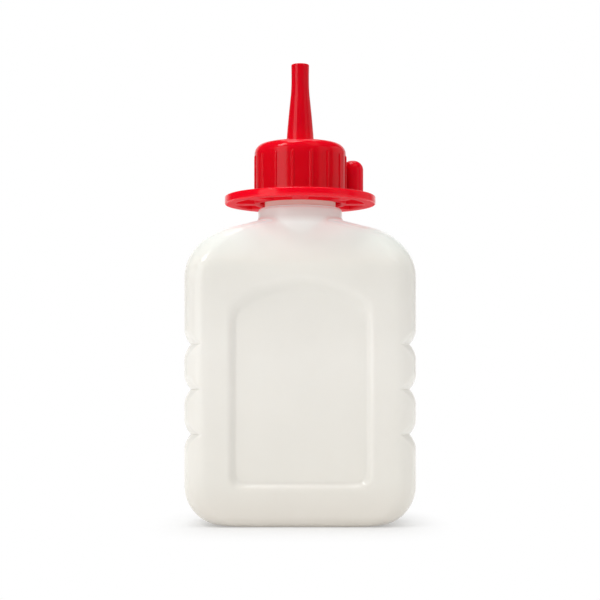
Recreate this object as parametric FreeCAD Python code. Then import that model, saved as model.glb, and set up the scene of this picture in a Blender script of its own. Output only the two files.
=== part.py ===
import FreeCAD, Part
import math
import os

# A flat squeeze bottle for machine oil, with a screw-on spout cap.
# Millimetres. The base rests on Z = 0, the front faces -Y, and the neck stands on the Z axis.

# Body of the bottle
body_width = 62.0
body_depth = 30.0
bottle_wall = 1.2
corner_radius = 6.5               # of the upright corners, seen from above
base_corner_radius = 10.8         # seen from the front
base_roll_radius = 3.0            # seen from the side
shoulder_start = 66.3             # height at which the sides begin to turn in
shoulder_corner_radius = 14.2     # seen from the front
shoulder_slope_deg = 14.5
face_turn_start = 68.9            # height at which the front and the back begin to turn in
face_turn_radius = 12.0           # seen from the side
face_lean_deg = 32.0              # how far they turn
top_corner_margin = 0.3           # what the corners leave of the sides at the neck
roof_bands = 2                    # bands from a shoulder to the neck
outside_bands = 4                 # bands in a rolled end of the body, an even number
inside_bands = 2

# Finger grooves round both sides
groove_count = 3
groove_pitch = 12.0
groove_middle_height = 36.5
groove_depth = 1.85
groove_floor = 0.3
groove_flank_radius = 7.0         # the bulges on both sides of a groove
groove_turn_deg = 30.0            # how far a groove follows the corner before it runs out

# Sunk panel on the front and the back
panel_width = 38.6
panel_bottom_margin = 9.7         # from the base up to the panel
panel_top_margin = 2.5            # from the arch up to where the face turns in
panel_arch_rise = 7.1
panel_depth = 1.5
panel_wall_run = 2.1              # width of the sloping wall at the sides and the bottom
panel_arch_run = 3.8              # and under the arch
panel_corner_radius = 3.0

# Hollow under the base
base_ring_width = 2.5
base_hollow_depth = 0.8
base_hollow_run = 2.0

# Neck of the bottle
neck_radius = 9.65
neck_wall = 1.85
collar_step = 1.85                # how far the collar stands out from the neck
collar_height = 3.36
collar_rounding = 0.9

# Screw cap
collar_gap = 1.24                 # from the collar up to the cap
thread_room = 1.45                # between the neck and the skirt, where the thread runs
skirt_depth = 14.86
skirt_wall = 1.4
cap_top_thickness = 1.6
cap_top_rounding = 2.8
rib_count = 16
rib_width = 0.8
rib_height = 0.3
rib_top_margin = 3.4              # from the ribs' tops up to the cap's top
rib_first_deg = -99.2

# Flange of the cap, with spokes underneath
flange_reach = 8.1                # from the skirt out to the rim
flange_thickness = 2.25
flange_web = 0.9
flange_rim_width = 3.0
spoke_count = 8
spoke_width = 4.0

# Nozzle of the cap
nozzle_length = 21.8
nozzle_root_radius = 3.75
nozzle_root_rounding = 0.7
nozzle_root_wall = 1.5
nozzle_tip_radius = 2.45
nozzle_tip_length = 6.5
outlet_radius = 1.0
outlet_length = 12.4

# Washer between the neck and the cap
washer_thickness = 1.0
washer_clearance = 0.3
washer_hole_margin = 0.4          # beyond the nozzle's bore

# Stopper for the nozzle, parked on a peg of the flange
stopper_height = 10.8
stopper_wall = 0.5
stopper_dome_rounding = 2.6
stopper_grip_clearance = 0.03     # round the nozzle's tip
stopper_skirt_gap = 0.35          # to the cap's ribs
stopper_angle_deg = 25.5
peg_clearance = 0.2
peg_height = 5.0

# Sizes that follow from those above
groove_overcut = 0.03             # lets the flanks cross the wall instead of only touching it
upright_tolerance = 1e-9          # of angles, in radians
past = 1.0                        # how far a cutting solid reaches past the face that it cuts
half_width = body_width / 2
half_depth = body_depth / 2
slope = math.radians(shoulder_slope_deg)
lean = math.radians(face_lean_deg)
base_centre_x = half_width - base_corner_radius
base_centre_y = half_depth - base_roll_radius
shoulder_centre_x = half_width - shoulder_corner_radius
face_turn_centre_y = half_depth - face_turn_radius
slope_distance = (
    shoulder_centre_x * math.sin(slope) + shoulder_start * math.cos(slope) + shoulder_corner_radius
)
neck_bore_radius = neck_radius - neck_wall
collar_radius = neck_radius + collar_step
neck_foot_z = (slope_distance - collar_radius * math.sin(slope)) / math.cos(slope)
collar_top_z = neck_foot_z + collar_height
skirt_bottom_z = collar_top_z + collar_gap
ceiling_z = skirt_bottom_z + skirt_depth
neck_rim_z = ceiling_z - washer_thickness
cap_top_z = ceiling_z + cap_top_thickness
skirt_inner_radius = neck_radius + thread_room
skirt_radius = skirt_inner_radius + skirt_wall
flange_radius = skirt_radius + flange_reach
flange_top_z = skirt_bottom_z + flange_thickness
nozzle_bore_radius = nozzle_root_radius - nozzle_root_wall
nozzle_top_z = cap_top_z + nozzle_length
stopper_bore_radius = nozzle_tip_radius + stopper_grip_clearance
stopper_radius = stopper_bore_radius + stopper_wall
stopper_distance = skirt_radius + rib_height + stopper_skirt_gap + stopper_radius


def point(x, y, z):
    return FreeCAD.Vector(x, y, z)


def line(start, end):
    return Part.LineSegment(start, end).toShape()


def arc(start, middle, end):
    return Part.Arc(start, middle, end).toShape()


def polar(centre, radius, angle):
    """The point of a circle in the XZ plane, with its angle measured from +X towards +Z."""
    return centre + point(radius * math.cos(angle), 0, radius * math.sin(angle))


def round_arc(centre, radius, start, end):
    """An arc of a circle in the XZ plane."""
    middle = (start + end) / 2
    return arc(*(polar(centre, radius, angle) for angle in (start, middle, end)))


def mirrored(shape, normal):
    return shape.mirror(point(0, 0, 0), normal)


def turned(outline):
    """A solid of revolution about the Z axis, from corners given as radius and height."""
    corners = [point(radius, 0, height) for radius, height in outline]
    face = Part.Face(Part.makePolygon(corners + corners[:1]))
    return face.revolve(point(0, 0, 0), point(0, 0, 1), 360)


def rounded_rim(radius, height, rounding, flats):
    """The corners of a turned outline that round its outer top edge in a few flats, from below."""
    angles = [i / flats * math.pi / 2 for i in range(flats + 1)]
    return [
        (radius - rounding * (1 - math.cos(angle)), height - rounding * (1 - math.sin(angle)))
        for angle in angles
    ]


def half_width_at(z, inset):
    """Half the body's width at a height: round base corners, upright sides, round shoulders, slopes."""
    if z < base_corner_radius:
        rise = base_corner_radius - z
        return base_centre_x + math.sqrt((base_corner_radius - inset) ** 2 - rise ** 2)
    if z <= shoulder_start:
        return half_width - inset
    radius = shoulder_corner_radius - inset
    if z < shoulder_start + radius * math.cos(slope):
        return shoulder_centre_x + math.sqrt(radius ** 2 - (z - shoulder_start) ** 2)
    return (slope_distance - inset - z * math.cos(slope)) / math.sin(slope)


def half_depth_at(z, inset):
    """Half the body's depth at a height: rolled base, upright faces, which turn and lean in at the top."""
    if z < base_roll_radius:
        rise = base_roll_radius - z
        return base_centre_y + math.sqrt((base_roll_radius - inset) ** 2 - rise ** 2)
    if z <= face_turn_start:
        return half_depth - inset
    radius = face_turn_radius - inset
    turn_top = face_turn_start + radius * math.sin(lean)
    if z < turn_top:
        return face_turn_centre_y + math.sqrt(radius ** 2 - (z - face_turn_start) ** 2)
    return face_turn_centre_y + radius * math.cos(lean) - (z - turn_top) * math.tan(lean)


def top_height(inset):
    """The height at which the slopes run under the neck."""
    return (slope_distance - inset - neck_radius * math.sin(slope)) / math.cos(slope)


def section_heights(inset, bands):
    """Heights of the sections, from the base up to the neck. Half of the base's bands are in its roll."""
    halves = [i * 2 / bands for i in range(bands // 2 + 1)]
    roll = base_roll_radius - inset
    base = [inset + roll * (1 - math.cos(half * math.pi / 2)) for half in halves]
    base_radius = base_corner_radius - inset
    roll_end = math.acos((base_corner_radius - base_roll_radius) / base_radius)
    rest = math.pi / 2 - roll_end
    base += [base_corner_radius - base_radius * math.cos(roll_end + half * rest) for half in halves[1:]]
    radius = shoulder_corner_radius - inset
    turn = math.pi / 2 - slope
    shoulder = [shoulder_start + radius * math.sin(i / bands * turn) for i in range(bands + 1)]
    rise = (top_height(inset) - shoulder[-1]) / roof_bands
    return base + shoulder + [shoulder[-1] + (i + 1) * rise for i in range(roof_bands)]


def section(z, inset):
    """The edges of a section across the body. Its corners grow towards the neck, and are cut flat inside."""
    x = half_width_at(z, inset)
    y = half_depth_at(z, inset)
    top_z = top_height(inset)
    top_corner = half_depth_at(top_z, inset) - top_corner_margin
    share = max(0, (z - shoulder_start) / (top_z - shoulder_start))
    corner = (corner_radius - inset) * (1 - share) + top_corner * share
    bulge = corner * math.sqrt(0.5)
    flat = 2 * (corner - bulge)
    reach = corner if inset == 0 else flat
    arcs = []
    for sign_x, sign_y in ((1, 1), (-1, 1), (-1, -1), (1, -1)):
        on_side = point(sign_x * x, sign_y * (y - reach), z)
        middle = point(sign_x * (x - corner + bulge), sign_y * (y - corner + bulge), z)
        on_face = point(sign_x * (x - reach), sign_y * y, z)
        arcs.append((on_side, middle, on_face) if sign_x == sign_y else (on_face, middle, on_side))
    edges = []
    for here, following in zip(arcs, arcs[1:] + arcs[:1]):
        edges.append(arc(*here) if inset == 0 else line(here[0], here[2]))
        edges.append(line(here[2], following[0]))
    return edges


def band(lower, upper):
    """The face between an edge of one section and its like in the next one up."""
    rise = upper.Vertexes[0].Point - lower.Vertexes[0].Point
    if rise.isParallel(point(0, 0, 1), upright_tolerance):
        return lower.extrude(rise)
    if isinstance(lower.Curve, Part.Line):
        start, end = [vertex.Point for vertex in lower.Vertexes]
        upper_start, upper_end = [vertex.Point for vertex in upper.Vertexes]
        return Part.Face(Part.makePolygon([start, end, upper_end, upper_start, start]))
    return Part.makeRuledSurface(lower, upper)


def banded_body(inset, bands):
    """The plain body, whose rolled ends are made of a few bands."""
    sections = [section(z, inset) for z in section_heights(inset, bands)]
    faces = [Part.Face(Part.Wire(sections[0])), Part.Face(Part.Wire(sections[-1]))]
    for lower, upper in zip(sections, sections[1:]):
        faces += [band(a, b) for a, b in zip(lower, upper)]
    shell = Part.Shell(faces)
    shell.sewShape()
    return Part.Solid(shell)


def groove_profile(inset):
    """A groove in section, as steps out from its floor and up from its middle. Its flanks bulge outside."""
    depth = groove_depth + groove_overcut
    bulge = math.acos(1 - depth / groove_flank_radius)
    reach = groove_floor / 2 + groove_flank_radius * math.sin(bulge)
    flank = [
        (depth - groove_flank_radius * (1 - math.cos(angle)), reach - groove_flank_radius * math.sin(angle))
        for angle in (bulge, bulge / 2, 0)
    ]
    if inset > 0:
        inner_radius = groove_flank_radius - inset
        inner_bulge = math.acos(1 - depth / inner_radius)
        flank = [(0, reach - inner_radius * math.sin(inner_bulge)), (depth, reach)]
    upper = flank + [(depth + past, reach)]
    return upper + [(out, -up) for out, up in reversed(upper)]


def groove_cutter(inset, height):
    """The space of one finger groove on the +X side. It follows the corners a little way and runs out."""
    turn = math.radians(groove_turn_deg)
    wall_radius = corner_radius - inset
    path_radius = wall_radius - groove_depth
    run_out = math.sqrt(wall_radius ** 2 - path_radius ** 2) + past
    corner = point(half_width - corner_radius, corner_radius - half_depth, height)
    outward = point(math.cos(turn), -math.sin(turn), 0)
    away = point(-math.sin(turn), -math.cos(turn), 0)
    start = corner + outward * path_radius + away * run_out
    bend = corner + point(path_radius, -path_radius * math.tan(turn / 2), 0)
    path = Part.makePolygon([start, bend, point(bend.x, -bend.y, height), point(start.x, -start.y, height)])
    corners = [start + outward * out + point(0, 0, up) for out, up in groove_profile(inset)]
    profile = Part.makePolygon(corners + corners[:1])
    return path.makePipeShell([profile], True, False, 1)


def panel_outline(half, bottom, spring, apex, corner, y):
    """An upright panel with an arched top and round corners."""
    rise = apex - spring
    arch_radius = (half ** 2 + rise ** 2) / (2 * rise)
    arch_centre_z = apex - arch_radius
    corner_x = half - corner
    corner_z = arch_centre_z + math.sqrt((arch_radius - corner) ** 2 - corner_x ** 2)
    arch_angle = math.atan2(corner_z - arch_centre_z, corner_x)
    arch = round_arc(point(0, y, arch_centre_z), arch_radius, arch_angle, math.pi - arch_angle)
    lower = round_arc(point(corner_x, y, bottom + corner), corner, -math.pi / 2, 0)
    upper = round_arc(point(corner_x, y, corner_z), corner, 0, arch_angle)
    side = line(point(half, y, bottom + corner), point(half, y, corner_z))
    half_outline = [lower, side, upper]
    other_half = [mirrored(edge, point(1, 0, 0)) for edge in half_outline]
    base = line(point(-corner_x, y, bottom), point(corner_x, y, bottom))
    return Part.Wire(Part.__sortEdges__([base] + half_outline + [arch] + other_half))


def panel_cutter(inset):
    """The space of the sunk panel on the front, wide at the face and narrower at its floor."""
    apex = face_turn_start - panel_top_margin
    face = panel_outline(panel_width / 2, panel_bottom_margin, apex - panel_arch_rise, apex,
                         panel_corner_radius, inset - half_depth)
    floor_apex = apex - panel_arch_run
    floor = panel_outline(panel_width / 2 - panel_wall_run, panel_bottom_margin + panel_wall_run,
                          floor_apex - panel_arch_rise, floor_apex,
                          panel_corner_radius, inset - half_depth + panel_depth)
    return Part.makeLoft([face, floor], True, True)


def base_hollow_cutter(inset):
    """The shallow hollow under the base, inside the ring that the bottle stands on."""
    def rectangle(shrink, z):
        x = base_centre_x - base_ring_width - shrink
        y = base_centre_y - base_ring_width - shrink
        corners = [point(x, y, z), point(-x, y, z), point(-x, -y, z), point(x, -y, z)]
        return Part.makePolygon(corners + corners[:1])

    wires = [rectangle(0, inset), rectangle(base_hollow_run, inset + base_hollow_depth)]
    return Part.makeLoft(wires, True, True)


def body_form(inset, bands):
    """The body with its grooves, panels and base: the outside, or the inside where inset."""
    middle = (groove_count - 1) / 2
    heights = [groove_middle_height + (i - middle) * groove_pitch for i in range(groove_count)]
    right = [groove_cutter(inset, height) for height in heights]
    left = [mirrored(cutter, point(1, 0, 0)) for cutter in right]
    front_panel = panel_cutter(inset)
    panels = [front_panel, mirrored(front_panel, point(0, 1, 0))]
    return banded_body(inset, bands).cut(right + left + panels + [base_hollow_cutter(inset)])


def neck_outside():
    """The collar and the neck above it."""
    return turned(
        [(0, shoulder_start), (collar_radius, shoulder_start)]
        + rounded_rim(collar_radius, collar_top_z, collar_rounding, 2)
        + [(neck_radius, collar_top_z), (neck_radius, neck_rim_z), (0, neck_rim_z)]
    )


def neck_bore():
    height = neck_rim_z + past - shoulder_start
    return Part.makeCylinder(neck_bore_radius, height, point(0, 0, shoulder_start))


def bottle():
    outside = body_form(0, outside_bands).fuse(neck_outside())
    inside = body_form(bottle_wall, inside_bands).fuse(neck_bore())
    return outside.cut(inside).removeSplitter()


def cap_shell():
    """The skirt, flange and nozzle, turned in one piece."""
    nozzle_root = [
        (nozzle_root_radius + nozzle_root_rounding, cap_top_z),
        (nozzle_root_radius, cap_top_z + nozzle_root_rounding),
    ]
    tip_foot_z = nozzle_top_z - nozzle_tip_length
    step_z = nozzle_top_z - outlet_length
    tip = [(nozzle_tip_radius, tip_foot_z), (nozzle_tip_radius, nozzle_top_z)]
    bore = [
        (outlet_radius, nozzle_top_z), (outlet_radius, step_z), (nozzle_bore_radius, step_z),
        (nozzle_bore_radius, ceiling_z), (skirt_inner_radius, ceiling_z),
    ]
    return turned(
        [(skirt_inner_radius, skirt_bottom_z), (flange_radius, skirt_bottom_z)]
        + [(flange_radius, flange_top_z), (skirt_radius, flange_top_z)]
        + rounded_rim(skirt_radius, cap_top_z, cap_top_rounding, 4)
        + nozzle_root + tip + bore
    )


def grip_ribs():
    """Upright ribs round the skirt."""
    root = skirt_radius - skirt_wall / 2
    reach = skirt_radius + rib_height - root
    foot_z = flange_top_z - flange_web / 2
    height = cap_top_z - rib_top_margin - foot_z
    ribs = []
    for i in range(rib_count):
        rib = Part.makeBox(reach, rib_width, height, point(root, -rib_width / 2, foot_z))
        rib.rotate(point(0, 0, 0), point(0, 0, 1), rib_first_deg + i * 360 / rib_count)
        ribs.append(rib)
    return ribs


def flange_pockets():
    """The hollows between the spokes under the flange, with one spoke at the front."""
    foot_z = skirt_bottom_z - past
    height = flange_top_z - flange_web - foot_z
    outer = Part.makeCylinder(flange_radius - flange_rim_width, height, point(0, 0, foot_z))
    ring = outer.cut(Part.makeCylinder(skirt_radius, height, point(0, 0, foot_z)))
    spokes = []
    for i in range(spoke_count):
        spoke = Part.makeBox(flange_radius, spoke_width, height, point(0, -spoke_width / 2, foot_z))
        spoke.rotate(point(0, 0, 0), point(0, 0, 1), -90 + i * 360 / spoke_count)
        spokes.append(spoke)
    return ring.cut(spokes)


def at_stopper(shape):
    """Moves a shape from the Z axis to the stopper's place on the flange."""
    angle = math.radians(stopper_angle_deg)
    shape.translate(point(stopper_distance * math.cos(angle), stopper_distance * math.sin(angle), 0))
    return shape


def stopper_peg():
    foot_z = flange_top_z - flange_web / 2
    height = flange_top_z + peg_height - foot_z
    return at_stopper(Part.makeCylinder(stopper_bore_radius - peg_clearance, height, point(0, 0, foot_z)))


def spout_cap():
    shell = cap_shell().cut(flange_pockets())
    return shell.fuse(grip_ribs() + [stopper_peg()]).removeSplitter()


def sealing_washer():
    radius = skirt_inner_radius - washer_clearance
    hole = nozzle_bore_radius + washer_hole_margin
    return turned([(hole, neck_rim_z), (radius, neck_rim_z), (radius, ceiling_z), (hole, ceiling_z)])


def tip_stopper():
    """A thimble with a dome, whose bore fits the tip of the nozzle."""
    top_z = flange_top_z + stopper_height
    bore_top_z = top_z - stopper_dome_rounding
    return at_stopper(turned(
        [(stopper_bore_radius, flange_top_z), (stopper_radius, flange_top_z)]
        + rounded_rim(stopper_radius, top_z, stopper_dome_rounding, 2)
        + [(0, top_z), (0, bore_top_z), (stopper_bore_radius, bore_top_z)]
    ))


def main():
    os.makedirs("parts", exist_ok=True)
    for sub_part in (bottle, spout_cap, sealing_washer, tip_stopper):
        shape = sub_part()
        shape.Solids[0].exportStep(f"parts/{sub_part.__name__}.step")


main()
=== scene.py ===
import math

import bpy
import numpy as np
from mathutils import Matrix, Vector


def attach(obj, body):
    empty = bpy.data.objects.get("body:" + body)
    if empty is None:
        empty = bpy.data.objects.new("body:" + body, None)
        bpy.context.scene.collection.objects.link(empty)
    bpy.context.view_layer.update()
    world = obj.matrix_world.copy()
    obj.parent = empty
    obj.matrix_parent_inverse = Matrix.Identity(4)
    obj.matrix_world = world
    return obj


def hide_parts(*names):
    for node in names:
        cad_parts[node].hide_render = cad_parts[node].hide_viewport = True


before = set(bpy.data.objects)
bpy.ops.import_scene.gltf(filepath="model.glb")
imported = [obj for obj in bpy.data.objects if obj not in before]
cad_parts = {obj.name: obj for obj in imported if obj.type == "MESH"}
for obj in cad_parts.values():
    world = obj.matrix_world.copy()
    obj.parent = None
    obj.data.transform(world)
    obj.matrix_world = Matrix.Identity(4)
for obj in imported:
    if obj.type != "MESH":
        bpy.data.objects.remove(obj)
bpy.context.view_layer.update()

# The flat oil bottle with its red spout cap. Lengths are millimetres, and metres in the scene.
MM = 0.001

# Body of the bottle
HALF_WIDTH = 31.0
HALF_DEPTH = 15.0
WALL = 1.2
CORNER_RADIUS = 6.5
BASE_CORNER_RADIUS = 10.8
BASE_ROLL_RADIUS = 3.0
SHOULDER_START = 66.3
SHOULDER_RADIUS = 14.2
SHOULDER_SLOPE = math.radians(14.5)
FACE_TURN_START = 68.4
FACE_TURN_RADIUS = 8.0
FACE_LEAN = math.radians(24.0)
TOP_CORNER_MARGIN = 0.3
ROOF_START = 74.2
ROOF_RINGS = 34
INNER_ROOF_RINGS = 12

# Finger grooves
GROOVE_HEIGHTS = (24.5, 36.5, 48.5)
GROOVE_DEPTH = 1.85
GROOVE_FLANK_RADIUS = 7.0
GROOVE_TURN = math.radians(30.0)
GROOVE_SOFTNESS = 0.25

# Sunk panels
PANEL_HALF_WIDTH = 19.3
PANEL_BOTTOM = 9.7
PANEL_APEX = 66.4
PANEL_ARCH_RISE = 7.1
PANEL_DEPTH = 1.5
PANEL_WALL_RUN = 2.1
PANEL_ARCH_RUN = 3.8
PANEL_CORNER = 3.0
PANEL_EDGE_SHARE = 0.72
PANEL_SOFTNESS = 0.12

# Base and neck
BASE_RING_WIDTH = 2.5
BASE_HOLLOW_RUN = 2.0
BASE_HOLLOW_DEPTH = 0.8
BASE_LEAST_CORNER = 0.3
NECK_RADIUS = 9.65
NECK_BORE = 7.8
NECK_BORE_RINGS = (98.2, 92.2, 86.2)
NECK_RIM_Z = 100.798
NECK_RIM_ROUNDING = 0.4
COLLAR_RADIUS = 11.5
COLLAR_TOP_Z = 85.698
COLLAR_ROUNDING = 0.9
NECK_ROOT_ROUNDING = 0.35
NECK_FOOT_ROUNDING = 1.1
THREAD_LEAD = 3.0
THREAD_HEIGHT = 0.85
THREAD_HALF_WIDTH = 0.75
THREAD_FLANK_SHARE = 0.6
THREAD_RUN_OUT = 1.2
THREAD_RING_STEP = 0.3
NECK_THREAD_Z = (90.2, 98.8)
SEAM_HEIGHT = 0.09
SEAM_HALF_WIDTH = 0.3
SEAM_START = 4.0
SEAM_FADE = 6.0

# Screw cap
SKIRT_BOTTOM_Z = 86.938
CEILING_Z = 101.798
CAP_TOP_Z = 103.3978
SKIRT_INNER = 11.1
SKIRT_RADIUS = 12.5
CAP_TOP_ROUNDING = 2.8
CAP_TOP_RINGS = (8.6, 7.0, 5.6)
FLANGE_RADIUS = 20.595
FLANGE_TOP_Z = 89.188
FLANGE_RIM_WIDTH = 3.0
FLANGE_WEB = 0.9
FLANGE_EDGE_ROUNDING = 0.5
FLANGE_LOW_ROUNDING = 0.25
SKIRT_FOOT_ROUNDING = 0.5
SPOKES = 8
SPOKE_HALF_WIDTH = 2.0
POCKET_ROUNDING = 0.3
RIBS = 16
RIB_FIRST = math.radians(-99.2)
RIB_HALF_WIDTH = 0.42
RIB_HEIGHT = 0.3
RIB_TOP_Z = CAP_TOP_Z - 3.4
RIB_END = 0.6
RIB_RINGS = (6.0, 3.0, RIB_END, 0.45, 0.32, 0.2, 0.12, 0.06, 0.0)
CAP_THREAD_Z = (89.7, 97.7)

# Nozzle: radius at heights above the cap's top
NOZZLE_LENGTH = 21.8
NOZZLE_SHAPE = ((0.9, 3.74), (2.2, 3.66), (4.4, 3.49), (7.6, 3.2), (10.9, 2.86), (13.3, 2.6), (15.3, 2.46),
                (17.0, 2.41), (19.0, 2.41), (21.5, 2.45))
NOZZLE_ROOT_ROUNDING = 0.8
NOZZLE_TIP_ROUNDING = 0.25
NOZZLE_BORE = 2.25
OUTLET_RADIUS = 1.0
OUTLET_LENGTH = 12.4
OUTLET_FLARE = 0.25
BORE_EDGE = 0.1
CEILING_EDGE = 0.3

# Stopper on its peg
STOPPER_X = 14.559
STOPPER_Y = 6.944
STOPPER_RADIUS = 2.98
STOPPER_BORE = 2.48
STOPPER_HEIGHT = 10.8
STOPPER_DOME = 2.6
STOPPER_WALL = 0.5
STOPPER_TOP_WALL = 1.0
STOPPER_FOOT_ROUNDING = 0.12
PEG_RADIUS = 2.28
PEG_HEIGHT = 5.0
PEG_SINK = 0.4
PEG_ROUNDING = 0.5


def smooth_step(t):
    t = np.clip(t, 0, 1)
    return t * t * (3 - 2 * t)


def leaning_step(t, bend):
    """A step from 0 to 1 that leaves 0 in a wide round bend and reaches 1 in a tight one."""
    t = np.clip(t, 0, 1)
    return np.where(t < bend, t * t / bend, 1 - (1 - t) ** 2 / (1 - bend))


def soft_positive(x, softness):
    """x where it is positive, 0 where it is negative, with a round bend between."""
    return np.where(x <= 0, 0, np.where(x < softness, x * x / (2 * softness), x - softness / 2))


def quarter(count):
    """Steps of a quarter turn, both ends included."""
    return np.linspace(0, math.pi / 2, count + 1)


def circle(angles, radius, z):
    """Points of a ring round the axis."""
    radius = np.broadcast_to(radius, angles.shape)
    z = np.broadcast_to(z, angles.shape)
    return np.stack([radius * np.cos(angles), radius * np.sin(angles), z], axis=1)


def slope_distance(inset):
    centre = HALF_WIDTH - SHOULDER_RADIUS
    along = centre * math.sin(SHOULDER_SLOPE) + SHOULDER_START * math.cos(SHOULDER_SLOPE)
    return along + SHOULDER_RADIUS - inset


def top_height(inset):
    return (slope_distance(inset) - NECK_RADIUS * math.sin(SHOULDER_SLOPE)) / math.cos(SHOULDER_SLOPE)


def half_width_at(z, inset):
    base = HALF_WIDTH - BASE_CORNER_RADIUS
    base_rise = np.clip(BASE_CORNER_RADIUS - z, 0, BASE_CORNER_RADIUS - inset)
    low = base + np.sqrt((BASE_CORNER_RADIUS - inset) ** 2 - base_rise ** 2)
    radius = SHOULDER_RADIUS - inset
    rise = np.clip(z - SHOULDER_START, 0, radius * math.cos(SHOULDER_SLOPE))
    high = HALF_WIDTH - SHOULDER_RADIUS + np.sqrt(radius ** 2 - rise ** 2)
    sloping = (slope_distance(inset) - z * math.cos(SHOULDER_SLOPE)) / math.sin(SHOULDER_SLOPE)
    high = np.where(z > SHOULDER_START + radius * math.cos(SHOULDER_SLOPE), sloping, high)
    return np.where(z < BASE_CORNER_RADIUS, low, high)


def half_depth_at(z, inset):
    base = HALF_DEPTH - BASE_ROLL_RADIUS
    base_rise = np.clip(BASE_ROLL_RADIUS - z, 0, BASE_ROLL_RADIUS - inset)
    low = base + np.sqrt((BASE_ROLL_RADIUS - inset) ** 2 - base_rise ** 2)
    radius = FACE_TURN_RADIUS - inset
    turn_top = FACE_TURN_START + radius * math.sin(FACE_LEAN)
    rise = np.clip(z - FACE_TURN_START, 0, radius * math.sin(FACE_LEAN))
    high = HALF_DEPTH - FACE_TURN_RADIUS + np.sqrt(radius ** 2 - rise ** 2)
    high = high - np.clip(z - turn_top, 0, None) * math.tan(FACE_LEAN)
    return np.where(z < BASE_ROLL_RADIUS, low, high)


def corner_at(z, inset):
    top = top_height(inset)
    top_corner = half_depth_at(np.asarray(top), inset) - TOP_CORNER_MARGIN
    share = np.clip((z - SHOULDER_START) / (top - SHOULDER_START), 0, 1)
    return (CORNER_RADIUS - inset) * (1 - share) + top_corner * share


def outside_distance(x, y, z, inset):
    """How far a point lies outside the body's section at its height."""
    corner = corner_at(z, inset)
    dx = np.abs(x) - half_width_at(z, inset) + corner
    dy = np.abs(y) - half_depth_at(z, inset) + corner
    outer = np.hypot(np.maximum(dx, 0), np.maximum(dy, 0))
    return outer + np.minimum(np.maximum(dx, dy), 0) - corner


def roof_height(x, y, inset):
    """Height of the shoulder over a point of the plan."""
    low = np.full_like(x, SHOULDER_START)
    high = np.full_like(x, top_height(inset))
    for _ in range(40):
        middle = (low + high) / 2
        outside = outside_distance(x, y, middle, inset) > 0
        high = np.where(outside, middle, high)
        low = np.where(outside, low, middle)
    return (low + high) / 2


class Columns:
    """The upright lines of the body's mesh: the four flat sides and the corners between them."""

    def __init__(self):
        # Distances from the middle of a face and of a side, close together at the panel's rim and the seam
        fine = np.concatenate([np.arange(0.6, 15.6, 1.25), np.arange(15.6, 20.8, 0.4), [21.4, 22.3, 23.4]])
        face = np.concatenate([-fine[::-1], [0.0], fine]) / (HALF_WIDTH - CORNER_RADIUS)
        seam = np.array([0.16, 0.32, 0.5, 1.2])
        edge = np.concatenate([seam, np.arange(2.2, HALF_DEPTH - CORNER_RADIUS - 0.5, 1.1)])
        side = np.concatenate([-edge[::-1], [0.0], edge]) / (HALF_DEPTH - CORNER_RADIUS)
        turn = quarter(16)
        along_x, along_y, normal = [], [], []
        for start in range(4):
            angle = start * math.pi / 2
            flat = side if start % 2 == 0 else face
            direction = (math.cos(angle), math.sin(angle))
            tangent = (-direction[1], direction[0])
            for share in flat:
                along_x.append(tangent[0] * share + direction[0])
                along_y.append(tangent[1] * share + direction[1])
                normal.append(angle)
            for step in turn:
                along_x.append(direction[0] + tangent[0])
                along_y.append(direction[1] + tangent[1])
                normal.append(angle + step)
        self.sx = np.array(along_x)
        self.sy = np.array(along_y)
        self.nx = np.cos(normal)
        self.ny = np.sin(normal)
        folded = np.arctan2(np.abs(self.ny), np.abs(self.nx))
        self.from_side = folded
        self.on_face = folded > math.pi / 2 - 1e-6
        self.on_side = folded < 1e-6
        self.count = len(along_x)

    def ring(self, half_width, half_depth, corner, z):
        """Points of one section, which is a rectangle with round corners."""
        x = self.sx * (half_width - corner) + self.nx * corner
        y = self.sy * (half_depth - corner) + self.ny * corner
        return np.stack([x, y, np.full_like(x, z)], axis=1)


def panel_outline(shrink_side, shrink_top):
    """Points round a panel with an arched top, moved inwards."""
    half = PANEL_HALF_WIDTH - shrink_side
    bottom = PANEL_BOTTOM + shrink_side
    apex = PANEL_APEX - shrink_top
    arch_radius = (half ** 2 + PANEL_ARCH_RISE ** 2) / (2 * PANEL_ARCH_RISE)
    arch_z = apex - arch_radius
    corner_x = half - PANEL_CORNER
    corner_z = arch_z + math.sqrt((arch_radius - PANEL_CORNER) ** 2 - corner_x ** 2)
    arch_angle = math.atan2(corner_z - arch_z, corner_x)
    low = np.linspace(-math.pi / 2, 0, 14)
    high = np.linspace(0, arch_angle, 14)
    arch = np.linspace(arch_angle, math.pi / 2, 60)
    x = np.concatenate([corner_x + PANEL_CORNER * np.cos(low), corner_x + PANEL_CORNER * np.cos(high),
                        arch_radius * np.cos(arch)])
    z = np.concatenate([bottom + PANEL_CORNER + PANEL_CORNER * np.sin(low),
                        corner_z + PANEL_CORNER * np.sin(high), arch_z + arch_radius * np.sin(arch)])
    return np.concatenate([x, -x[::-1]]), np.concatenate([z, z[::-1]])


def inside_distance(x, z, outline):
    """Distance of points from a closed outline, positive inside it."""
    ax, az = outline
    bx, bz = np.roll(ax, -1), np.roll(az, -1)
    ex, ez = bx - ax, bz - az
    length = np.maximum(ex ** 2 + ez ** 2, 1e-12)
    px, pz = x[:, None] - ax, z[:, None] - az
    share = np.clip((px * ex + pz * ez) / length, 0, 1)
    distance = np.hypot(px - share * ex, pz - share * ez).min(axis=1)
    crosses = (az > z[:, None]) != (bz > z[:, None])
    rise = np.where(np.abs(ez) < 1e-12, 1e-12, ez)
    crossing_x = ax + (z[:, None] - az) / rise * ex
    inside = (crosses & (x[:, None] < crossing_x)).sum(axis=1) % 2 == 1
    return np.where(inside, distance, -distance)


PANEL_RIM = panel_outline(0, 0)
PANEL_FLOOR = panel_outline(PANEL_WALL_RUN, PANEL_ARCH_RUN)


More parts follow.
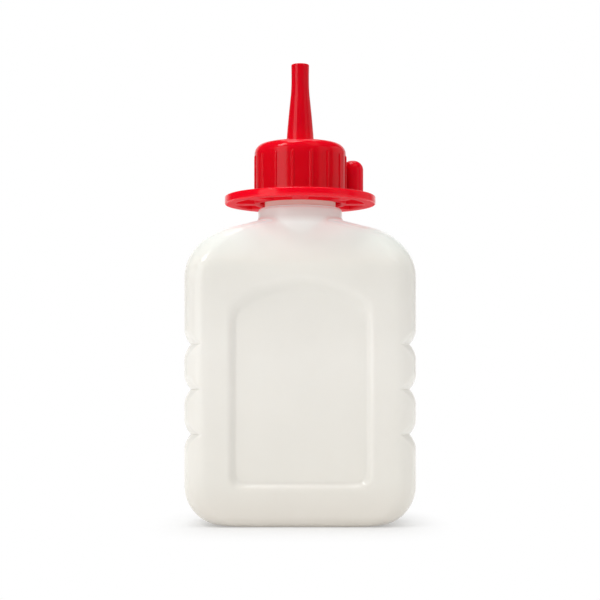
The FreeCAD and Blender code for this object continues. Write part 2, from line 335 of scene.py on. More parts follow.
def panel_sink(x, z):
    """How deep the panel lies below the face at points of the face."""
    to_rim = inside_distance(x, z, PANEL_RIM)
    to_floor = -inside_distance(x, z, PANEL_FLOOR)
    share = to_rim / np.maximum(to_rim + to_floor, 1e-6)
    share = np.where(to_rim + to_floor < 1e-3, 0, share)
    return PANEL_DEPTH * leaning_step((share + PANEL_SOFTNESS) / (1 + PANEL_SOFTNESS), PANEL_EDGE_SHARE)


def groove_cut(z, from_side):
    """How far the finger grooves cut in at a height, round the corner."""
    reach = math.sqrt(2 * GROOVE_FLANK_RADIUS * GROOVE_DEPTH - GROOVE_DEPTH ** 2)
    depth = 0.0
    for height in GROOVE_HEIGHTS:
        into = max(reach - abs(z - height), 0)
        depth = max(depth, GROOVE_FLANK_RADIUS - math.sqrt(GROOVE_FLANK_RADIUS ** 2 - into ** 2))
    past_turn = np.maximum(from_side - GROOVE_TURN, 0)
    lost = CORNER_RADIUS * (1 - np.cos(past_turn))
    return soft_positive(depth - lost, GROOVE_SOFTNESS)


def body_ring(columns, z, inset):
    """One level ring of the body, with grooves, panels and the seam."""
    ring = columns.ring(half_width_at(np.asarray(z), inset), half_depth_at(np.asarray(z), inset),
                        corner_at(np.asarray(z), inset), z)
    cut = groove_cut(z, columns.from_side)
    turned = np.minimum(columns.from_side, GROOVE_TURN)
    ring[:, 0] -= np.sign(columns.nx) * np.cos(turned) * cut
    ring[:, 1] -= np.sign(np.round(columns.ny, 9)) * np.sin(turned) * cut
    face = columns.on_face
    sink = panel_sink(ring[face, 0], ring[face, 2])
    ring[face, 1] -= np.sign(columns.ny[face]) * sink
    if inset == 0:
        side = columns.on_side
        seam = SEAM_HEIGHT * smooth_step(1 - np.abs(ring[side, 1]) / SEAM_HALF_WIDTH)
        fade = smooth_step((z - SEAM_START) / SEAM_FADE)
        ring[side, 0] -= np.sign(columns.nx[side]) * (SEAM_HEIGHT - seam) * fade
    return ring


def level_heights(fine):
    """Heights of the level rings between the base and the roof, close together where the shape turns."""
    marks = [0.0]
    roll = BASE_ROLL_RADIUS * (1 - np.cos(quarter(14 if fine else 5)))
    marks += list(roll[1:])
    zones = [(12.8, 0.38), (19.6, 1.0), (53.4, 0.34), (55.2, 0.9), (67.0, 0.45), (ROOF_START, 0.6)]
    for end, step in zones:
        step = step if fine else max(step * 3, 1.2)
        count = max(1, round((end - marks[-1]) / step))
        start = marks[-1]
        marks += [start + (end - start) * (i + 1) / count for i in range(count)]
    if fine:
        marks += [height + offset for height in GROOVE_HEIGHTS for offset in (-0.12, 0.0, 0.12)]
    return sorted(set(round(mark, 4) for mark in marks))


def roof_rings(columns, inset, radius, count):
    """Rings over the shoulder, from the level part in to a circle round the neck."""
    start = body_ring(columns, ROOF_START, inset)
    width = half_width_at(np.asarray(ROOF_START), inset)
    depth = half_depth_at(np.asarray(ROOF_START), inset)
    angles = np.arctan2(start[:, 1] / depth, start[:, 0] / width)
    end = circle(angles, radius, 0)
    rings = []
    for i in range(1, count + 1):
        share = i / count
        x = start[:, 0] * (1 - share) + end[:, 0] * share
        y = start[:, 1] * (1 - share) + end[:, 1] * share
        rings.append(np.stack([x, y, roof_height(x, y, inset)], axis=1))
    return rings, angles


def thread_rise(angle, z, span):
    """Height of a screw thread's ridge at an angle and a height, with its ends run out."""
    along = (z - angle / (2 * math.pi) * THREAD_LEAD) / THREAD_LEAD
    off = np.abs(along - np.round(along)) * THREAD_LEAD
    ridge = smooth_step((THREAD_HALF_WIDTH - off) / (THREAD_HALF_WIDTH * THREAD_FLANK_SHARE))
    ends = smooth_step((z - span[0]) / THREAD_RUN_OUT) * smooth_step((span[1] - z) / THREAD_RUN_OUT)
    return THREAD_HEIGHT * ridge * ends


def neck_rings(angles, foot):
    """Rings from the shoulder up over the neck's foot, the collar, the neck and its rim, to the bore."""
    rings = []
    corner = circle(angles, COLLAR_RADIUS, 0)
    corner[:, 2] = roof_height(corner[:, 0], corner[:, 1], 0)
    above = corner + np.array([0, 0, NECK_FOOT_ROUNDING])
    for share in np.linspace(0, 1, 7)[1:]:
        rings.append(foot * (1 - share) ** 2 + corner * 2 * share * (1 - share) + above * share ** 2)
    top = COLLAR_TOP_Z - COLLAR_ROUNDING
    for share in (0.35, 0.7, 1.0):
        rings.append(above * (1 - share) + circle(angles, COLLAR_RADIUS, top) * share)
    for step in quarter(6)[1:]:
        radius = COLLAR_RADIUS - COLLAR_ROUNDING * (1 - math.cos(step))
        rings.append(circle(angles, radius, top + COLLAR_ROUNDING * math.sin(step)))
    for step in quarter(3):
        radius = NECK_RADIUS + NECK_ROOT_ROUNDING * (1 - math.sin(step))
        rings.append(circle(angles, radius, COLLAR_TOP_Z + NECK_ROOT_ROUNDING * (1 - math.cos(step))))
    for z in np.arange(COLLAR_TOP_Z + 0.7, NECK_RIM_Z - NECK_RIM_ROUNDING, THREAD_RING_STEP):
        rings.append(circle(angles, NECK_RADIUS + thread_rise(angles, z, NECK_THREAD_Z), z))
    for step in quarter(4):
        radius = NECK_RADIUS - NECK_RIM_ROUNDING * (1 - math.cos(step))
        rings.append(circle(angles, radius, NECK_RIM_Z - NECK_RIM_ROUNDING * (1 - math.sin(step))))
    for step in quarter(3):
        radius = NECK_BORE + NECK_RIM_ROUNDING * (1 - math.sin(step))
        rings.append(circle(angles, radius, NECK_RIM_Z - NECK_RIM_ROUNDING * (1 - math.cos(step))))
    return rings


def base_rings(columns):
    """Rings under the base, from the middle of its hollow out to the ring that it stands on."""
    half_width = HALF_WIDTH - BASE_CORNER_RADIUS
    half_depth = HALF_DEPTH - BASE_ROLL_RADIUS
    rings = []
    for share in np.linspace(1, 0, 9):
        inward = BASE_RING_WIDTH + BASE_HOLLOW_RUN * share
        corner = max(CORNER_RADIUS - inward, BASE_LEAST_CORNER)
        rise = BASE_HOLLOW_DEPTH * smooth_step(share)
        rings.append(columns.ring(half_width - inward, half_depth - inward, corner, float(rise)))
    return rings


def band(low, high, count):
    """Faces between two rings, which are named by their first points."""
    return [(low + i, low + (i + 1) % count, high + (i + 1) % count, high + i) for i in range(count)]


def mesh_object(name, rings):
    """A closed mesh of rings with the same number of points, with both ends filled."""
    count = len(rings[0])
    last = (len(rings) - 1) * count
    faces = [tuple(range(count))[::-1]]
    for row in range(len(rings) - 1):
        faces += band(row * count, (row + 1) * count, count)
    faces.append(tuple(range(last, last + count)))
    return object_of(name, np.concatenate(rings) * MM, faces)


def tube_object(name, rings):
    """A closed mesh of rings, the last of which joins the first."""
    count = len(rings[0])
    faces = []
    for row in range(len(rings)):
        faces += band(row * count, (row + 1) % len(rings) * count, count)
    return object_of(name, np.concatenate(rings) * MM, faces)


def object_of(name, points, faces, smooth=True):
    mesh = bpy.data.meshes.new(name)
    mesh.from_pydata([tuple(p) for p in points], [], faces)
    mesh.validate()
    mesh.polygons.foreach_set("use_smooth", [smooth] * len(mesh.polygons))
    mesh.update()
    obj = bpy.data.objects.new(name, mesh)
    bpy.context.scene.collection.objects.link(obj)
    return obj


def bottle_object():
    columns = Columns()
    outer = [body_ring(columns, z, 0) for z in level_heights(True)]
    roof, angles = roof_rings(columns, 0, COLLAR_RADIUS + NECK_FOOT_ROUNDING, ROOF_RINGS)
    neck = neck_rings(angles, roof[-1])
    inner_roof, inner_angles = roof_rings(columns, WALL, NECK_BORE, INNER_ROOF_RINGS)
    bore = [circle(inner_angles, NECK_BORE, z) for z in NECK_BORE_RINGS]
    heights = [z for z in level_heights(False) if z > WALL]
    inner = [body_ring(columns, z, WALL) for z in reversed(heights)]
    floor = columns.ring(HALF_WIDTH - BASE_CORNER_RADIUS, HALF_DEPTH - BASE_ROLL_RADIUS,
                         CORNER_RADIUS - WALL, WALL)
    rings = base_rings(columns) + outer + roof + neck + bore + inner_roof[::-1] + inner + [floor]
    return mesh_object("bottle_moulding", rings)


def module_angles(radius):
    """Column angles of the cap where they follow the spokes' edges: spoke, wall and pocket."""
    edge = math.asin(min(SPOKE_HALF_WIDTH / radius, 0.99))
    wall = 2 * POCKET_ROUNDING / radius
    half_pitch = math.pi / SPOKES
    spoke = np.array([0.0, 0.25, 0.5, 0.75, 0.9]) * edge
    walls = edge + wall * np.array([0.0, 0.2, 0.4, 0.6, 0.8, 1.0])
    pocket = edge + wall + (half_pitch - edge - wall) * np.linspace(0.125, 1.0, 8)
    half = np.concatenate([spoke, walls, pocket])
    whole = np.concatenate([half, (2 * half_pitch - half[1:-1])[::-1]])
    start = -math.pi / 2
    return np.concatenate([start + i * 2 * half_pitch + whole for i in range(SPOKES)])


CAP_COLUMNS = len(module_angles(FLANGE_RADIUS))
PER_RIB = CAP_COLUMNS // RIBS


def rib_angles():
    """Column angles of the cap where they gather at the ribs, and how far across its rib each one is."""
    across = np.array([0.0, 0.3, 0.55, 0.8, 1.0, 1.25]) * RIB_HALF_WIDTH / SKIRT_RADIUS
    pitch = 2 * math.pi / RIBS
    free = PER_RIB - 2 * len(across) + 1
    gap = np.linspace(across[-1], pitch - across[-1], free + 2)[1:-1]
    one = np.concatenate([across, gap, pitch - across[:0:-1]])
    shift = round((-math.pi / 2 - RIB_FIRST) / pitch * PER_RIB)
    angles = np.concatenate([RIB_FIRST + i * pitch + one for i in range(RIBS)])
    offset = np.concatenate([np.minimum(one, pitch - one) for _ in range(RIBS)])
    angles = np.concatenate([angles[shift:], angles[:shift] + 2 * math.pi])
    offset = np.concatenate([offset[shift:], offset[:shift]])
    even = np.arange(CAP_COLUMNS) / CAP_COLUMNS * 2 * math.pi
    even += (angles - even).mean()
    return angles, offset * SKIRT_RADIUS, even


def underside_rings():
    """Rings under the flange from the skirt's inside out to the rim, with pockets between the spokes."""
    floor_z = FLANGE_TOP_Z - FLANGE_WEB
    depth = floor_z - SKIRT_BOTTOM_Z
    pocket_in = SKIRT_RADIUS
    pocket_out = FLANGE_RADIUS - FLANGE_RIM_WIDTH
    wall = 2 * POCKET_ROUNDING
    steps = np.array([0.0, 0.2, 0.4, 0.6, 0.8, 1.0])
    radii = np.concatenate([
        [SKIRT_INNER + FLANGE_LOW_ROUNDING, (SKIRT_INNER + SKIRT_RADIUS) / 2],
        pocket_in + wall * steps,
        np.linspace(pocket_in + wall, pocket_out - wall, 6)[1:-1],
        pocket_out - wall + wall * steps,
        [pocket_out + 0.8, pocket_out + 1.7, FLANGE_RADIUS - FLANGE_LOW_ROUNDING],
    ])
    rings = []
    for radius in radii:
        angles = module_angles(radius)
        pitch = 2 * math.pi / SPOKES
        turned = np.mod(angles + math.pi / 2 + pitch / 2, pitch) - pitch / 2
        from_spoke = radius * np.sin(np.abs(turned)) - SPOKE_HALF_WIDTH
        share = np.minimum(from_spoke, min(radius - pocket_in, pocket_out - radius)) / wall
        rings.append(circle(angles, radius, SKIRT_BOTTOM_Z + depth * smooth_step(share)))
    return rings


def spout_cap_object():
    rim = module_angles(FLANGE_RADIUS)
    ribbed, from_rib, even = rib_angles()
    rings = underside_rings()
    for step in quarter(3)[1:]:
        radius = FLANGE_RADIUS - FLANGE_LOW_ROUNDING * (1 - math.sin(step))
        rings.append(circle(rim, radius, SKIRT_BOTTOM_Z + FLANGE_LOW_ROUNDING * (1 - math.cos(step))))
    for step in quarter(6):
        radius = FLANGE_RADIUS - FLANGE_EDGE_ROUNDING * (1 - math.cos(step))
        rings.append(circle(rim, radius, FLANGE_TOP_Z - FLANGE_EDGE_ROUNDING * (1 - math.sin(step))))
    flange_edge = FLANGE_RADIUS - FLANGE_EDGE_ROUNDING
    skirt_foot = SKIRT_RADIUS + RIB_HEIGHT + SKIRT_FOOT_ROUNDING
    for share in (0.25, 0.5, 0.75, 1.0):
        angles = rim * (1 - share) + ribbed * share
        rings.append(circle(angles, flange_edge * (1 - share) + skirt_foot * share, FLANGE_TOP_Z))
    across = np.sqrt(np.clip(1 - (from_rib / RIB_HALF_WIDTH) ** 2, 0, 1))
    skirt_top = CAP_TOP_Z - CAP_TOP_ROUNDING
    for step in quarter(4)[1:]:
        radius = SKIRT_RADIUS + SKIRT_FOOT_ROUNDING * (1 - math.sin(step)) + RIB_HEIGHT * across
        rings.append(circle(ribbed, radius, FLANGE_TOP_Z + SKIRT_FOOT_ROUNDING * (1 - math.cos(step))))
    for z in RIB_TOP_Z - np.array(RIB_RINGS):
        ending = math.sqrt(max(0.0, 1 - max(0.0, (z - RIB_TOP_Z + RIB_END) / RIB_END) ** 2))
        rings.append(circle(ribbed, SKIRT_RADIUS + RIB_HEIGHT * across * ending, z))
    rings.append(circle(ribbed, SKIRT_RADIUS, (RIB_TOP_Z + skirt_top) / 2))
    for step in quarter(14):
        radius = SKIRT_RADIUS - CAP_TOP_ROUNDING * (1 - math.cos(step))
        share = smooth_step(step / (math.pi / 2))
        angles = ribbed * (1 - share) + even * share
        rings.append(circle(angles, radius, skirt_top + CAP_TOP_ROUNDING * math.sin(step)))
    root = NOZZLE_SHAPE[0][1] + NOZZLE_ROOT_ROUNDING
    for radius in CAP_TOP_RINGS:
        rings.append(circle(even, radius, CAP_TOP_Z))
    for step in quarter(5):
        radius = root - NOZZLE_ROOT_ROUNDING * math.sin(step)
        rings.append(circle(even, radius, CAP_TOP_Z + NOZZLE_ROOT_ROUNDING * (1 - math.cos(step))))
    for height, radius in NOZZLE_SHAPE:
        rings.append(circle(even, radius, CAP_TOP_Z + height))
    tip_radius = NOZZLE_SHAPE[-1][1]
    tip_z = CAP_TOP_Z + NOZZLE_LENGTH
    for step in quarter(4):
        radius = tip_radius - NOZZLE_TIP_ROUNDING * (1 - math.cos(step))
        rings.append(circle(even, radius, tip_z - NOZZLE_TIP_ROUNDING * (1 - math.sin(step))))
    step_z = tip_z - OUTLET_LENGTH
    outlet = [(OUTLET_RADIUS + OUTLET_FLARE, tip_z), (OUTLET_RADIUS + 0.08, tip_z - 0.06),
              (OUTLET_RADIUS, tip_z - OUTLET_FLARE), (OUTLET_RADIUS, step_z), (OUTLET_RADIUS + BORE_EDGE, step_z)]
    bore = [(NOZZLE_BORE - BORE_EDGE, step_z), (NOZZLE_BORE, step_z - BORE_EDGE),
            (NOZZLE_BORE, CEILING_Z + BORE_EDGE), (NOZZLE_BORE + BORE_EDGE, CEILING_Z)]
    ceiling = [(6.0, CEILING_Z), (SKIRT_INNER - CEILING_EDGE, CEILING_Z), (SKIRT_INNER, CEILING_Z - CEILING_EDGE)]
    for radius, z in outlet + bore + ceiling:
        rings.append(circle(even, radius, z))
    span = [end + THREAD_LEAD / 2 for end in CAP_THREAD_Z]
    for z in np.arange(CEILING_Z - 1.0, SKIRT_BOTTOM_Z + 0.4, -THREAD_RING_STEP):
        rise = thread_rise(even, z + THREAD_LEAD / 2, span)
        rings.append(circle(even, SKIRT_INNER - rise, z))
    rings.append(circle(rim, SKIRT_INNER, SKIRT_BOTTOM_Z + FLANGE_LOW_ROUNDING))
    return tube_object("spout_cap_moulding", rings)


def turned_rings(outline, count, x, y):
    """Rings of a turned shape round an upright axis."""
    angles = np.arange(count) / count * 2 * math.pi
    middle = np.array([x, y, 0])
    return [circle(angles, radius, z) + middle for radius, z in outline]


def peg_object():
    top = FLANGE_TOP_Z + PEG_HEIGHT
    outline = [(PEG_RADIUS, FLANGE_TOP_Z - PEG_SINK), (PEG_RADIUS, FLANGE_TOP_Z + 1.5)]
    outline += [(PEG_RADIUS - PEG_ROUNDING * (1 - math.cos(s)), top - PEG_ROUNDING * (1 - math.sin(s)))
                for s in quarter(5)]
    outline += [(0.6, top)]
    return mesh_object("stopper_peg", turned_rings(outline, 48, STOPPER_X, STOPPER_Y))


def stopper_object():
    foot = FLANGE_TOP_Z
    top = FLANGE_TOP_Z + STOPPER_HEIGHT
    outline = [(STOPPER_BORE + BORE_EDGE, foot), (STOPPER_RADIUS - STOPPER_FOOT_ROUNDING, foot)]
    outline += [(STOPPER_RADIUS - STOPPER_FOOT_ROUNDING * (1 - math.sin(s)),
                 foot + STOPPER_FOOT_ROUNDING * (1 - math.cos(s))) for s in quarter(3)[1:]]
    outline += [(STOPPER_RADIUS, foot + 3), (STOPPER_RADIUS, foot + 6)]
    outline += [(STOPPER_RADIUS - STOPPER_DOME * (1 - math.cos(s)), top - STOPPER_DOME * (1 - math.sin(s)))
                for s in quarter(12)]
    bore_top = top - STOPPER_TOP_WALL
    outline += [(0.1, top), (0.1, bore_top)]
    inner = STOPPER_DOME - STOPPER_WALL
    outline += [(STOPPER_BORE - inner * (1 - math.cos(s)), bore_top - inner * (1 - math.sin(s)))
                for s in quarter(8)[::-1]]
    outline += [(STOPPER_BORE, foot + 4), (STOPPER_BORE, foot + BORE_EDGE)]
    return tube_object("tip_stopper_moulding", turned_rings(outline, 64, STOPPER_X, STOPPER_Y))


def new_material(name):
    material = bpy.data.materials.new(name)
    material.use_nodes = True
    nodes = material.node_tree.nodes
    return material, nodes, material.node_tree.links, nodes["Principled BSDF"]


NOISE_SPAN = (0.3, 0.7)


def noise_node(nodes, links, scale, detail):
    place = nodes.new("ShaderNodeTexCoord")
    noise = nodes.new("ShaderNodeTexNoise")
    noise.inputs["Scale"].default_value = scale
    noise.inputs["Detail"].default_value = detail
    links.new(place.outputs["Object"], noise.inputs["Vector"])
    return noise


def tint(nodes, links, noise, dark, light, socket):
    """Passes between two tints with the noise."""
    ramp = nodes.new("ShaderNodeValToRGB")
    ramp.color_ramp.elements[0].position = NOISE_SPAN[0]
    ramp.color_ramp.elements[0].color = (*dark, 1)
    ramp.color_ramp.elements[1].position = NOISE_SPAN[1]
    ramp.color_ramp.elements[1].color = (*light, 1)
    links.new(noise.outputs["Fac"], ramp.inputs["Fac"])
    links.new(ramp.outputs["Color"], socket)


def bumps(nodes, links, noise, strength, distance, shader):
    bump = nodes.new("ShaderNodeBump")
    bump.inputs["Strength"].default_value = strength
    bump.inputs["Distance"].default_value = distance
    links.new(noise.outputs["Fac"], bump.inputs["Height"])
    links.new(bump.outputs["Normal"], shader.inputs["Normal"])


def spread_over(nodes, links, source, limits, results, smooth):
    """Maps a value from one span to another one."""
    spread = nodes.new("ShaderNodeMapRange")
    spread.interpolation_type = "SMOOTHSTEP" if smooth else "LINEAR"
    spread.inputs["From Min"].default_value = limits[0]
    spread.inputs["From Max"].default_value = limits[1]
    spread.inputs["To Min"].default_value = results[0]
    spread.inputs["To Max"].default_value = results[1]
    links.new(source, spread.inputs["Value"])
    return spread


def by_slope(nodes, links, limits, results):
    """A value that passes from one to another one where the surface turns to face up."""
    place = nodes.new("ShaderNodeTexCoord")
    split = nodes.new("ShaderNodeSeparateXYZ")
    links.new(place.outputs["Normal"], split.inputs[0])
    return spread_over(nodes, links, split.outputs["Z"], limits, results, True).outputs["Result"]


def near_neck(nodes, links, reach, far, near):
    """A value that passes into what another node gives towards the neck, under the flange."""
    place = nodes.new("ShaderNodeTexCoord")
    away = nodes.new("ShaderNodeVectorMath")
    away.operation = "DISTANCE"
    links.new(place.outputs["Object"], away.inputs[0])
    away.inputs[1].default_value = (0, 0, NECK_MIDDLE * MM)
    limits = [distance * MM for distance in reach]
    spread = spread_over(nodes, links, away.outputs["Value"], limits, (far, far), True)
    links.new(near, spread.inputs["To Min"])
    return spread.outputs["Result"]


def tints_by_height(nodes, links, noise, stops, spread, socket):
    """Passes through tints at given heights, with a slight variation over the surface."""
    place = nodes.new("ShaderNodeTexCoord")
    split = nodes.new("ShaderNodeSeparateXYZ")
    links.new(place.outputs["Object"], split.inputs[0])
    top = stops[-1][0]
    share = spread_over(nodes, links, split.outputs["Z"], (0, top * MM), (0, 1), False)
    mix = nodes.new("ShaderNodeMix")
    mix.data_type = "RGBA"
    for factor, name in ((1 - spread, "A"), (1 + spread, "B")):
        ramp = nodes.new("ShaderNodeValToRGB")
        elements = ramp.color_ramp.elements
        elements[1].position = 1.0
        for height, _ in stops[1:-1]:
            elements.new(height / top)
        for element, (_, colour) in zip(elements, stops):
            element.color = (*[channel * factor for channel in colour], 1)
        links.new(share.outputs["Result"], ramp.inputs["Fac"])
        links.new(ramp.outputs["Color"], mix.inputs[name])
    patches = spread_over(nodes, links, noise.outputs["Fac"], NOISE_SPAN, (0, 1), False)
    links.new(patches.outputs["Result"], mix.inputs["Factor"])
    links.new(mix.outputs["Result"], socket)


# Tints at heights, with a slight random variation. The bottle's are its cream colour with painted light and
# shade: darker and yellower towards the base, slightly darker above the panel's arch, lighter and cooler on the
# shoulder, painted shade on the neck between the collar and the cap, and a painted pink at the neck's top for red
# light from the cap.
BOTTLE_TINTS_AND_PAINTED_LIGHT = ((0, (0.64, 0.606, 0.552)), (12, (0.70, 0.68, 0.632)), (45, (0.735, 0.716, 0.675)),
                (66, (0.70, 0.682, 0.64)), (70.5, (0.695, 0.682, 0.635)), (76, (0.715, 0.735, 0.695)),
                (81, (0.755, 0.79, 0.765)), (83, (0.63, 0.62, 0.595)), (85.4, (0.63, 0.62, 0.595)),
                (86, (0.70, 0.50, 0.45)))
# The cap's red carries painted light and shade: lighter on the flange and the cap's rounded top, darker on the
# skirt and towards the nozzle's tip.
CAP_TINTS_AND_PAINTED_LIGHT = ((0, (0.84, 0.0003, 0.014)), (89.0, (0.84, 0.0003, 0.014)), (91.0, (0.62, 0.0002, 0.008)),
             (99.5, (0.64, 0.0002, 0.008)), (102.5, (0.82, 0.0004, 0.012)), (104.5, (0.78, 0.0004, 0.012)),
             (108, (0.66, 0.0002, 0.01)), (126, (0.62, 0.0002, 0.008)))
# The stopper is painted a lighter red than the cap at its height, as if more light fell on it.
STOPPER_PAINTED_LIGHTER_TINTS = ((0, (0.80, 0.0004, 0.014)), (126, (0.80, 0.0004, 0.014)))

# The milky wall has a painted glow, emission in its own colour that stands in for light coming through it,
# stronger round the neck where the flange shades the shoulder; the wall is dull where it faces up
NECK_MIDDLE = 82.0
PAINTED_GLOW_REACH = (15.0, 28.0)
WALL_PAINTED_GLOW = 0.165
NECK_PAINTED_GLOW = 0.25
DULL_SLOPE = (0.86, 0.95)
STEEP_ROUGHNESS = (0.15, 0.19)
LEVEL_ROUGHNESS = (0.4, 0.48)
STEEP_GLOSS = 0.4

# Painted light on the shoulder's ridge under the flange: a cooler painted tint and a stronger painted glow, which
# cancel the red light from the flange
RIDGE_REACH = (14.0, 21.0)
RIDGE_SLOPE = (0.55, 0.85)
RIDGE_PAINTED_TINT = (0.68, 0.86, 0.84)
RIDGE_PAINTED_GLOW = 0.35

CAP_ROUGHNESS = (0.12, 0.16)
CAP_GLOSS = 0.32
MATTE_ROUGHNESS = (0.5, 0.6)
MATTE_GLOSS = 0.1


def milky_plastic():
    material, nodes, links, shader = new_material("milky_plastic")
    # Painted cooler tint on the shoulder's ridge, mixed over the painted tints by height
    ridge = nodes.new("ShaderNodeMix")
    ridge.data_type = "RGBA"
    ridge.inputs["B"].default_value = (*RIDGE_PAINTED_TINT, 1)
    # Base colour with painted light and shade by height
    tints_by_height(nodes, links, noise_node(nodes, links, 55, 3), BOTTLE_TINTS_AND_PAINTED_LIGHT, 0.012, ridge.inputs["A"])
    on_ridge = near_neck(nodes, links, RIDGE_REACH, 0, by_slope(nodes, links, RIDGE_SLOPE, (0, 1)))
    links.new(on_ridge, ridge.inputs["Factor"])
    links.new(ridge.outputs["Result"], shader.inputs["Base Color"])
    links.new(ridge.outputs["Result"], shader.inputs["Emission Color"])
    fine = noise_node(nodes, links, 900, 4)
    roughness = spread_over(nodes, links, fine.outputs["Fac"], NOISE_SPAN, STEEP_ROUGHNESS, False)
    for name, *results in zip(("To Min", "To Max"), STEEP_ROUGHNESS, LEVEL_ROUGHNESS):
        links.new(by_slope(nodes, links, DULL_SLOPE, results), roughness.inputs[name])
    links.new(roughness.outputs["Result"], shader.inputs["Roughness"])
    links.new(by_slope(nodes, links, DULL_SLOPE, (STEEP_GLOSS, 0)), shader.inputs["Specular IOR Level"])
    # Painted glow: emission that rises towards the neck and on the ridge
    near = by_slope(nodes, links, RIDGE_SLOPE, (NECK_PAINTED_GLOW, RIDGE_PAINTED_GLOW))
    links.new(near_neck(nodes, links, PAINTED_GLOW_REACH, WALL_PAINTED_GLOW, near), shader.inputs["Emission Strength"])
    bumps(nodes, links, noise_node(nodes, links, 2600, 3), 0.05, 0.0002, shader)
    shader.inputs["Subsurface Weight"].default_value = 0.5
    shader.inputs["Subsurface Radius"].default_value = (1.0, 0.95, 0.9)
    shader.inputs["Subsurface Scale"].default_value = 0.0025
    return material


def red_plastic(name, tints, roughness, gloss):
    material, nodes, links, shader = new_material(name)
    tints_by_height(nodes, links, noise_node(nodes, links, 120, 3), tints, 0.025, shader.inputs["Base Color"])
    fine = noise_node(nodes, links, 700, 4)
    spread = spread_over(nodes, links, fine.outputs["Fac"], NOISE_SPAN, roughness, False)
    links.new(spread.outputs["Result"], shader.inputs["Roughness"])
    bumps(nodes, links, noise_node(nodes, links, 1800, 2), 0.02, 0.0002, shader)
    shader.inputs["Subsurface Weight"].default_value = 0.5
    shader.inputs["Subsurface Radius"].default_value = (1.0, 0.2, 0.2)
    shader.inputs["Subsurface Scale"].default_value = 0.002
    shader.inputs["Specular IOR Level"].default_value = gloss
    return material


def foam():
    material, nodes, links, shader = new_material("white_foam")
    noise = noise_node(nodes, links, 3500, 5)
    tint(nodes, links, noise, (0.78, 0.78, 0.76), (0.88, 0.88, 0.86), shader.inputs["Base Color"])
    bumps(nodes, links, noise, 0.3, 0.0003, shader)
    shader.inputs["Roughness"].default_value = 0.85
    return material


def dress(obj, material, body, slot, *nodes):
    """Gives a piece its material, its body and the solids that it replaces; the slot is not used."""
    obj.data.materials.clear()
    obj.data.materials.append(material)
    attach(obj, body)
    if nodes:
        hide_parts(*nodes)


white_bottle = milky_plastic()
# The cap's red carries painted light and shade by height
red_cap = red_plastic("red_plastic", CAP_TINTS_AND_PAINTED_LIGHT, CAP_ROUGHNESS, CAP_GLOSS)
# A lighter copy of the cap's red, painted light on the stopper
red_stopper_painted_lighter = red_plastic("red_plastic_stopper_painted_lighter", STOPPER_PAINTED_LIGHTER_TINTS, CAP_ROUGHNESS, CAP_GLOSS)
red_underside = red_plastic("red_plastic_matte", CAP_TINTS_AND_PAINTED_LIGHT, MATTE_ROUGHNESS, MATTE_GLOSS)
dress(bottle_object(), white_bottle, "bottle", "bottle_plastic", "bottle")
cap = spout_cap_object()
dress(cap, red_cap, "cap", "cap_plastic", "spout_cap")
cap.data.materials.append(red_underside)
# The underside and the skirt's lower edge are matte
matte = CAP_COLUMNS * (len(underside_rings()) - 1)
glossy = range(matte, len(cap.data.polygons) - 2 * CAP_COLUMNS)
cap.data.polygons.foreach_set("material_index", [int(i not in glossy) for i in range(len(cap.data.polygons))])
dress(peg_object(), red_cap, "cap", "cap_plastic")
dress(stopper_object(), red_stopper_painted_lighter, "stopper", "cap_plastic", "tip_stopper")
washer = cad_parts["sealing_washer"]
washer.data.materials.clear()
washer.data.materials.append(foam())


# Camera: level, at the height of the middle groove, with the picture shifted up
CAMERA_DISTANCE = 0.410
CAMERA_HEIGHT = 0.0366
LENS = 90.0
SENSOR_WIDTH = 36.0
CLIP_START = 0.01
SHIFT_X = -0.0003
SHIFT_Y = 0.1483

camera = bpy.data.objects.new("camera", bpy.data.cameras.new("camera"))
camera.data.sensor_width = SENSOR_WIDTH
camera.data.lens = LENS
camera.data.shift_x = SHIFT_X
camera.data.shift_y = SHIFT_Y
camera.data.clip_start = CLIP_START
camera.location = (0, -CAMERA_DISTANCE, CAMERA_HEIGHT)
camera.rotation_euler = (math.pi / 2, 0, 0)
bpy.context.scene.collection.objects.link(camera)
bpy.context.scene.camera = camera


# Stage, in metres: the floor's glow falls off towards the base, round a box that the bottle stands on
FLOOR_HALF = 3.0
SHADOW_BOX = (0.0202, 0.012, 0)
SHADOW_REACH = (0.022, 0.045, 1)
FLOOR_GLOW = (0.27, 1.0)
AMBIENT = 0.72
ROOM_SPAN = (0.6, 1.0)
ROOM_LIGHT = (0.03, 1.0)
LIGHT_DISTANCE = 0.7
LIGHT_AIM = (0, 0, 0.065)

# Soft boxes: azimuth and elevation in degrees, width, height and power
LIGHTS = {
    "key_left": (-49, 12, 0.38, 0.5, 0.85),
    "spot_left": (-57, 49, 0.16, 0.19, 0.9),
    "fill_right": (62, 12, 0.36, 0.5, 0.18),
    "rim_right": (110, 12, 0.5, 0.6, 0.35),
    "spot_right": (45, 53, 0.3, 0.34, 0.15),
    "top": (-60, 80, 0.26, 0.25, 0.9),
    "top_back": (180, 68, 0.4, 0.25, 0.6),
}


def background_rays(nodes, links):
    """1 for rays that see the background: straight, mirrored or through glass."""
    path = nodes.new("ShaderNodeLightPath")
    first = nodes.new("ShaderNodeMath")
    first.operation = "MAXIMUM"
    links.new(path.outputs["Is Camera Ray"], first.inputs[0])
    links.new(path.outputs["Is Glossy Ray"], first.inputs[1])
    second = nodes.new("ShaderNodeMath")
    second.operation = "MAXIMUM"
    links.new(first.outputs[0], second.inputs[0])
    links.new(path.outputs["Is Transmission Ray"], second.inputs[1])
    return second.outputs[0]


def vector_step(nodes, links, operation, source, constant):
    step = nodes.new("ShaderNodeVectorMath")
    step.operation = operation
    links.new(source, step.inputs[0])
    step.inputs[1].default_value = constant
    return step.outputs[0]


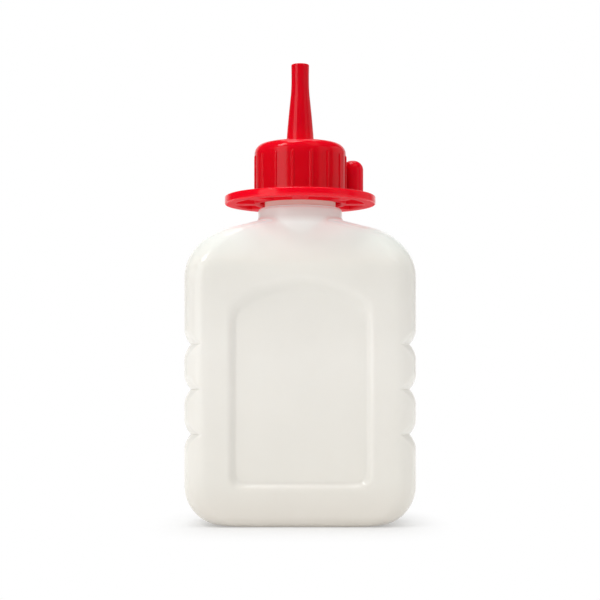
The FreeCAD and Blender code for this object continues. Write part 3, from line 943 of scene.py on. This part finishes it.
def make_floor():
    """A pale floor that glows for the camera, less so near the base, where the bottle's shadow falls."""
    corners = np.array([(-1, -1, 0), (1, -1, 0), (1, 1, 0), (-1, 1, 0)]) * FLOOR_HALF
    floor = object_of("floor", corners, [(0, 1, 2, 3)], False)
    material, nodes, links, shader = new_material("floor")
    noise = noise_node(nodes, links, 3, 2)
    tint(nodes, links, noise, (0.79, 0.79, 0.785), (0.81, 0.81, 0.805), shader.inputs["Base Color"])
    shader.inputs["Roughness"].default_value = 0.9
    shader.inputs["Specular IOR Level"].default_value = 0.0
    glow = nodes.new("ShaderNodeEmission")
    glow.inputs["Color"].default_value = (1, 1, 1, 1)
    glow.inputs["Strength"].default_value = 1.0
    place = nodes.new("ShaderNodeTexCoord")
    folded = vector_step(nodes, links, "ABSOLUTE", place.outputs["Object"], (0, 0, 0))
    beyond = vector_step(nodes, links, "SUBTRACT", folded, SHADOW_BOX)
    outside = vector_step(nodes, links, "MAXIMUM", beyond, (0, 0, 0))
    scaled = vector_step(nodes, links, "DIVIDE", outside, SHADOW_REACH)
    away = nodes.new("ShaderNodeVectorMath")
    away.operation = "LENGTH"
    links.new(scaled, away.inputs[0])
    fade = spread_over(nodes, links, away.outputs["Value"], (0, 1), FLOOR_GLOW, True)
    seen = nodes.new("ShaderNodeMath")
    seen.operation = "MULTIPLY"
    links.new(fade.outputs["Result"], seen.inputs[0])
    links.new(background_rays(nodes, links), seen.inputs[1])
    mix = nodes.new("ShaderNodeMixShader")
    links.new(seen.outputs[0], mix.inputs["Fac"])
    links.new(shader.outputs["BSDF"], mix.inputs[1])
    links.new(glow.outputs["Emission"], mix.inputs[2])
    links.new(mix.outputs["Shader"], nodes["Material Output"].inputs["Surface"])
    floor.data.materials.append(material)


def make_world():
    """Even light all round and a white background, with a dim room in front for reflections."""
    world = bpy.data.worlds.new("studio")
    world.use_nodes = True
    nodes, links = world.node_tree.nodes, world.node_tree.links
    background = nodes["Background"]
    background.inputs["Color"].default_value = (1, 1, 1, 1)
    place = nodes.new("ShaderNodeTexCoord")
    direction = nodes.new("ShaderNodeSeparateXYZ")
    links.new(place.outputs["Generated"], direction.inputs[0])
    lit = spread_over(nodes, links, background_rays(nodes, links), (0, 1), (AMBIENT, 1), False)
    room = spread_over(nodes, links, direction.outputs["Y"], ROOM_SPAN, ROOM_LIGHT, True)
    path = nodes.new("ShaderNodeLightPath")
    mirrored = spread_over(nodes, links, path.outputs["Is Glossy Ray"], (0, 1), (1, 1), False)
    links.new(room.outputs["Result"], mirrored.inputs["To Max"])
    strength = nodes.new("ShaderNodeMath")
    strength.operation = "MULTIPLY"
    links.new(lit.outputs["Result"], strength.inputs[0])
    links.new(mirrored.outputs["Result"], strength.inputs[1])
    links.new(strength.outputs[0], background.inputs["Strength"])
    bpy.context.scene.world = world


def area_light(name, azimuth, elevation, width, height, power):
    """A soft box that faces the bottle. Azimuth 0 is the camera's side, and grows to its right."""
    data = bpy.data.lights.new(name, "AREA")
    data.shape = "RECTANGLE"
    data.size = width
    data.size_y = height
    data.energy = power
    light = bpy.data.objects.new(name, data)
    a, e = math.radians(azimuth), math.radians(elevation)
    away = Vector((math.sin(a) * math.cos(e), -math.cos(a) * math.cos(e), math.sin(e)))
    light.location = Vector(LIGHT_AIM) + LIGHT_DISTANCE * away
    light.rotation_euler = (-away).to_track_quat("-Z", "Y").to_euler()
    bpy.context.scene.collection.objects.link(light)


make_floor()
make_world()
for light_name, values in LIGHTS.items():
    area_light(light_name, *values)

bpy.context.scene.view_settings.view_transform = "Standard"
bpy.context.view_layer.update()
